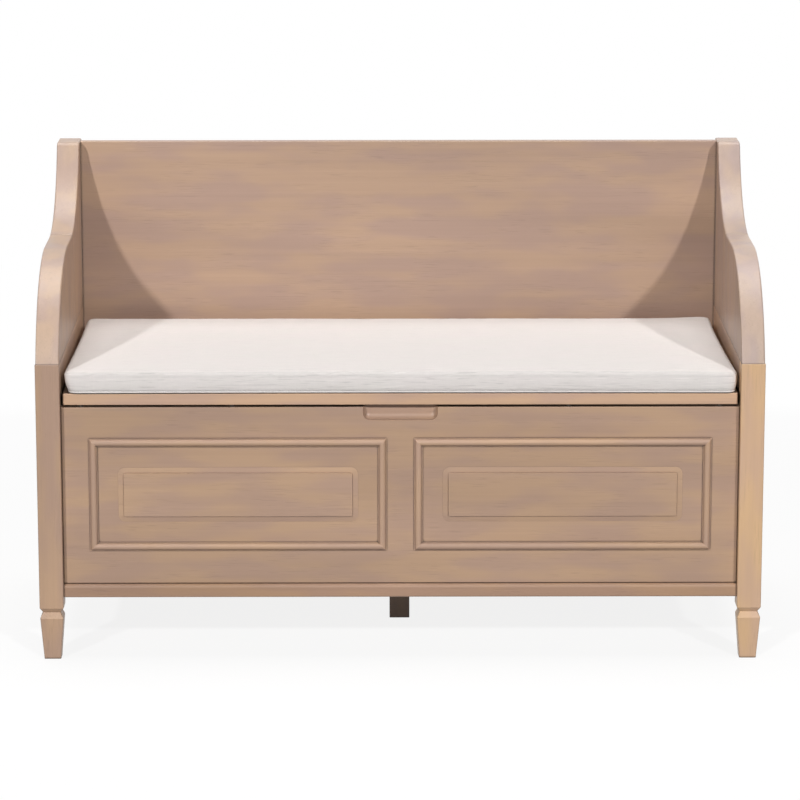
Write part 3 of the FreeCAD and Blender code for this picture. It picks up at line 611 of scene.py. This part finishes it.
swollen = blown_up(cushion)
furthest = 0.0
for vert, place in zip(cushion_mesh.vertices, swollen):
    travel = place - vert.co
    furthest = max(furthest, travel.length)
    vert.co += Vector([held_back(step, give) for step, give in zip(travel, foam_give(vert.co))])
    vert.co.z = max(vert.co.z, base_z)
print("furthest that the cloth would go, in mm:", round(1000 * furthest, 1))

# %% [markdown]
# A seam pulls the cloth in along a thin line and puckers it a little on both sides. The seam edges were
# marked on the blank, so they are bevelled into a narrow strip whose middle row is pulled inwards. The
# puckers fade out within a finger's width of the seams. Slack cloth on top lies in long, low waves, and
# the front border has a few tucks, each with its place along X, its depth and its width.

# %% Seams, puckers and tucks
seam_strip = 0.0021
seam_depth = 0.0018
pucker_height = 0.00055
pucker_length = 0.016
pucker_reach = 0.009
slack_height = 0.0004
slack_lengths = (0.11, 0.04)
tucks = (
    (-0.456, 0.0024, 0.005),
    (-0.438, 0.0020, 0.004),
    (-0.353, 0.0016, 0.005),
    (0.170, 0.0010, 0.008),
)

seam_points = set()
for edge in cushion_mesh.edges:
    if edge.use_seam:
        seam_points.update(edge.vertices)
seams = kdtree.KDTree(len(seam_points))
lower_seam = []
for index in sorted(seam_points):
    place = cushion_mesh.vertices[index].co.copy()
    seams.insert(place, index)
    if place.z < base_z + edge_height / 2:
        lower_seam.append(place)
seams.balance()

bm = bmesh.new()
bm.from_mesh(cushion_mesh)
seam_lines = [edge for edge in bm.edges if edge.seam]
bmesh.ops.bevel(bm, geom=seam_lines, offset=seam_strip, offset_type="OFFSET", affect="EDGES",
                segments=2, profile=0.5, material=-1)
bm.normal_update()
pulled = 0
for vert in bm.verts:
    place, _, distance = seams.find(vert.co)
    if distance < 0.6 * seam_strip:
        vert.co -= vert.normal * seam_depth
        pulled += 1
        continue
    near = math.exp(-(distance / pucker_reach) ** 2)
    ripple = noise.noise(Vector((vert.co.x, vert.co.y, 3 * vert.co.z)) / pucker_length)
    push = pucker_height * ripple * near
    if vert.normal.z > 0.5:
        long_slack, short_slack = [noise.noise(vert.co / length) for length in slack_lengths]
        push += slack_height * (long_slack + 0.4 * short_slack)
    if vert.normal.y < -0.5:
        for tuck_x, depth, width in tucks:
            push -= depth * math.exp(-((vert.co.x - tuck_x) / width) ** 2)
    if vert.normal.z > -0.5:
        vert.co += vert.normal * push
    vert.co.z = max(vert.co.z, base_z)
print("points on the seams:", pulled, "of", len(bm.verts))

# %% [markdown]
# The weave follows the cloth, so the cover gets a flat pattern of its own: each panel is laid out in
# metres, the border folded down from the edge of the top. A second layer keeps how near each point is
# to a seam, and the cloth is painted darker there, as painted shade in the furrow where the stitches sit.

# %% Lay out the weave
furrow_width = 0.0031
seam_shade = bm.verts.layers.float.new("seam_painted_shade")
for vert in bm.verts:
    distance = seams.find(vert.co)[2]
    vert[seam_shade] = math.exp(-((distance / furrow_width) ** 2))
weave = bm.loops.layers.uv.new("weave")
for face in bm.faces:
    outward = face.calc_center_median() - middle
    for loop in face.loops:
        x, y, drop = loop.vert.co.x, loop.vert.co.y, seam_z - loop.vert.co.z
        if abs(face.normal.z) > 0.6:
            loop[weave].uv = (x, y)
        elif abs(face.normal.y) > abs(face.normal.x):
            edge_y = math.copysign(half.y, outward.y)
            loop[weave].uv = (x, edge_y + math.copysign(drop, outward.y))
        else:
            edge_x = math.copysign(half.x, outward.x)
            loop[weave].uv = (edge_x + math.copysign(drop, outward.x), y)
    face.smooth = True
bm.to_mesh(cushion_mesh)
bm.free()
smoothing = cushion.modifiers.new("smoothing", "SUBSURF")
smoothing.levels = 1
smoothing.render_levels = 1
print("cover:", len(cushion_mesh.polygons), "faces before smoothing")

# %% [markdown]
# The welt is a thin cord in a strip of the same cloth, caught in the lower seam. A curve with a round
# section follows that seam, and is then made a mesh.

# %% Welt
welt_radius = 0.0015
welt_outset = -0.0004

ring = sorted(
    lower_seam,
    key=lambda point: math.atan2((point.y - middle.y) * half.x / half.y, point.x - middle.x),
)
welt_curve = bpy.data.curves.new("welt_path", "CURVE")
welt_curve.dimensions = "3D"
welt_curve.bevel_depth = welt_radius
welt_curve.bevel_resolution = 3
line = welt_curve.splines.new("POLY")
line.points.add(len(ring) - 1)
for spot, point in zip(line.points, ring):
    outward = Vector((point.x - middle.x, point.y - middle.y, 0)).normalized()
    place = point + outward * welt_outset
    spot.co = (place.x, place.y, base_z + welt_radius + 0.0002, 1)
line.use_cyclic_u = True
welt_path = bpy.data.objects.new("welt_path", welt_curve)
bpy.context.scene.collection.objects.link(welt_path)
bpy.context.view_layer.update()
welt_shape = welt_path.evaluated_get(bpy.context.evaluated_depsgraph_get())
welt_mesh = bpy.data.meshes.new_from_object(welt_shape)
bpy.data.objects.remove(welt_path)
welt_weave = welt_mesh.uv_layers.new(name="weave")
for polygon in welt_mesh.polygons:
    from_middle = polygon.center - middle
    run = 0 if abs(from_middle.y) * half.x > abs(from_middle.x) * half.y else 1
    for loop_index in polygon.loop_indices:
        place = welt_mesh.vertices[welt_mesh.loops[loop_index].vertex_index].co
        welt_weave.data[loop_index].uv = (place[run], place.z)
welt = bpy.data.objects.new("cushion_welt", welt_mesh)
bpy.context.scene.collection.objects.link(welt)
print("welt:", len(welt_mesh.polygons), "faces")

# %% [markdown]
# ## Cushion cloth
# The cover is an oat-white plain weave with slubs: here and there a weft thread is thicker and shows as
# a short pale or grey line. Over and under are worked out from the thread counts, and each thread gets
# a rounded height for the bump.


# %% Threads and slubs, in metres on the flat cloth
thread = 0.0011
slub_size = (0.030, 0.0018, 1.0)
band_size = (0.055, 0.0050, 1.0)
warp_slub_size = (0.0014, 0.022, 1.0)
cloud_size = (0.08, 0.05, 1.0)
painted_fold_shade_reach = 0.004


# %% Slub linen
def slub_linen():
    finish = new_finish("slub linen")
    flat = finish.node("ShaderNodeUVMap", {"uv_map": "weave"})
    counts = finish.node("ShaderNodeVectorMath", {"operation": "SCALE"}, {0: flat, "Scale": 1 / thread})
    warp, weft = finish.part(counts, "X"), finish.part(counts, "Y")
    over = (warp.of("FLOOR") + weft.of("FLOOR")) * 0.5
    over = over.of("FRACT") * 2
    across_warp = warp.of("FRACT") * 2 - 1
    across_weft = weft.of("FRACT") * 2 - 1
    warp_height = 1 - across_warp * across_warp
    weft_height = 1 - across_weft * across_weft
    height = warp_height * (1 - over) + weft_height * over

    slubs = finish.pattern(flat, slub_size, 11.0, detail=2.0)
    bands = finish.pattern(flat, band_size, 14.0, detail=2.0)
    warp_slubs = finish.pattern(flat, warp_slub_size, 17.0, detail=2.0)
    thick = finish.step(slubs, 0.58, 0.72)
    grey_thread = finish.step(1 - slubs, 0.57, 0.72)
    cloud = finish.pattern(flat, cloud_size, 23.0, detail=2.0)
    colour = finish.mix(cloud, rgb(240, 232, 230), rgb(237, 233, 228))
    on_border = finish.step(finish.part(flat, "Y").of("ABSOLUTE"), half.y - 0.004, half.y + 0.004)
    threads = 1 + (0.03 + 0.06 * on_border) * thick - (0.05 + 0.10 * on_border) * grey_thread
    painted_seam_shade = finish.node("ShaderNodeAttribute", {"attribute_name": "seam_painted_shade"}, output="Fac")
    shade = (0.93 + 0.05 * height) * threads * (0.985 + 0.03 * bands) * (0.98 + 0.04 * warp_slubs)
    # Painted shade along the seams, in the stitched furrow.
    shade = shade * (1 - 0.30 * painted_seam_shade)
    # Painted shade in the tight folds of the cover.
    shade = shade * finish.dimmed(finish.open_space(painted_fold_shade_reach, 0.45, 0.88), 0.62)
    finish.surface(
        Base_Color=finish.shaded(colour, shade),
        Roughness=0.92,
        Specular_IOR_Level=0.25,
        Sheen_Weight=0.12,
        Sheen_Roughness=0.5,
        Normal=finish.bump(height + 1.5 * slubs + warp_slubs, 0.00022, 0.7),
    )
    return finish.owner


# %% Dress the cushion
linen = slub_linen()
for piece in (cushion, welt):
    dress(piece, linen)
    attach(piece, "cushion")
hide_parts("seat_cushion")
print("cushion pieces:", [piece.name for piece in (cushion, welt)])

# %% [markdown]
# ## Studio
# The picture has two soft lights, one each side of the camera and a little above it, which throw the
# wings' shadows inwards on the back and the cushion. Big lamps close by would blur those shadows away,
# so two sun lamps with a small angle stand for them, and a very wide third one for the pale ceiling.
# The floor is plain and nearly white. What the camera sees of it is helped towards white by the Light
# Path node, while it still takes the bench's shadow.

# %% Lamps
lamp_angles = {"left light": 3.0, "right light": 3.0, "ceiling": 40.0}
lamp_strengths = {"left light": 1.62, "right light": 1.50, "ceiling": 1.70}
lamp_directions = {
    "left light": Vector((0.875, 1.75, -1.0)),
    "right light": Vector((-0.875, 1.75, -1.0)),
    "ceiling": Vector((0.0, -0.15, -1.0)),
}
for name, direction in lamp_directions.items():
    lamp_data = bpy.data.lights.new(name, "SUN")
    lamp_data.energy = lamp_strengths[name]
    lamp_data.angle = math.radians(lamp_angles[name])
    lamp = bpy.data.objects.new(name, lamp_data)
    lamp.rotation_euler = direction.to_track_quat("-Z", "Y").to_euler()
    bpy.context.scene.collection.objects.link(lamp)
print("lamps:", sorted(lamp_directions))

# %% White room
room_light = 0.02

world = bpy.data.worlds.new("white room")
bpy.context.scene.world = world
room = Finish(world)


def seen(finish, *rays):
    """1 for the rays that see the background itself, and 0 for those that only gather its light."""
    shown = finish.node("ShaderNodeLightPath", output=rays[0])
    for ray in rays[1:]:
        shown = finish.node("ShaderNodeMath", {"operation": "MAXIMUM"},
                            {0: shown, 1: finish.node("ShaderNodeLightPath", output=ray)})
    return shown


background_rays = ("Is Camera Ray", "Is Glossy Ray", "Is Transmission Ray")
strength = room_light + (1 - room_light) * seen(room, *background_rays)
room_shader = room.node("ShaderNodeBackground", None, {"Color": (1, 1, 1, 1), "Strength": strength})
room.node("ShaderNodeOutputWorld", None, {"Surface": room_shader})
print("room light:", room_light)

# %% Floor
floor_radius = 6.0
floor_whitening = 0.86
floor_fade = (1.1, 3.2)
floor_bounce = rgb(124, 124, 124)

floor_mesh = bpy.data.meshes.new("floor")
bm = bmesh.new()
bmesh.ops.create_circle(bm, cap_ends=True, segments=96, radius=floor_radius)
bm.to_mesh(floor_mesh)
bm.free()
floor = bpy.data.objects.new("floor", floor_mesh)
bpy.context.scene.collection.objects.link(floor)

floor_finish = new_finish("plain pale floor")
floor_place = floor_finish.object_place()
reach = floor_finish.node("ShaderNodeVectorMath", {"operation": "LENGTH"}, {0: floor_place}, "Value")
far = floor_finish.step(reach, *floor_fade)
shown_rays = seen(floor_finish, *background_rays)
whitened = shown_rays * (floor_whitening + (1 - floor_whitening) * far)
pale = floor_finish.mix(shown_rays, floor_bounce, rgb(255, 255, 255))
matt = floor_finish.node("ShaderNodeBsdfDiffuse", None, {"Color": pale})
glow = floor_finish.node("ShaderNodeEmission", None, {"Color": (1, 1, 1, 1), "Strength": 1.0})
floor_finish.show(floor_finish.node("ShaderNodeMixShader", None, {0: whitened, 1: matt, 2: glow}))
floor_mesh.materials.append(floor_finish.owner)
floor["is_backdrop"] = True
print("floor radius in m:", floor_radius)

# %% [markdown]
# ## Sizes
# The last cell keeps two boxes side by side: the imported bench, and the bench as it is dressed here.
# Cloth may stand a few millimetres proud, and nothing else should.

# %% Write the sizes and finish
shown_low, shown_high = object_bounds()
growth = [max(a - b, c - d) for a, b, c, d in zip(bench_low, shown_low, shown_high, bench_high)]
print("most that each side stands out, in mm:", [round(1000 * side, 2) for side in growth])
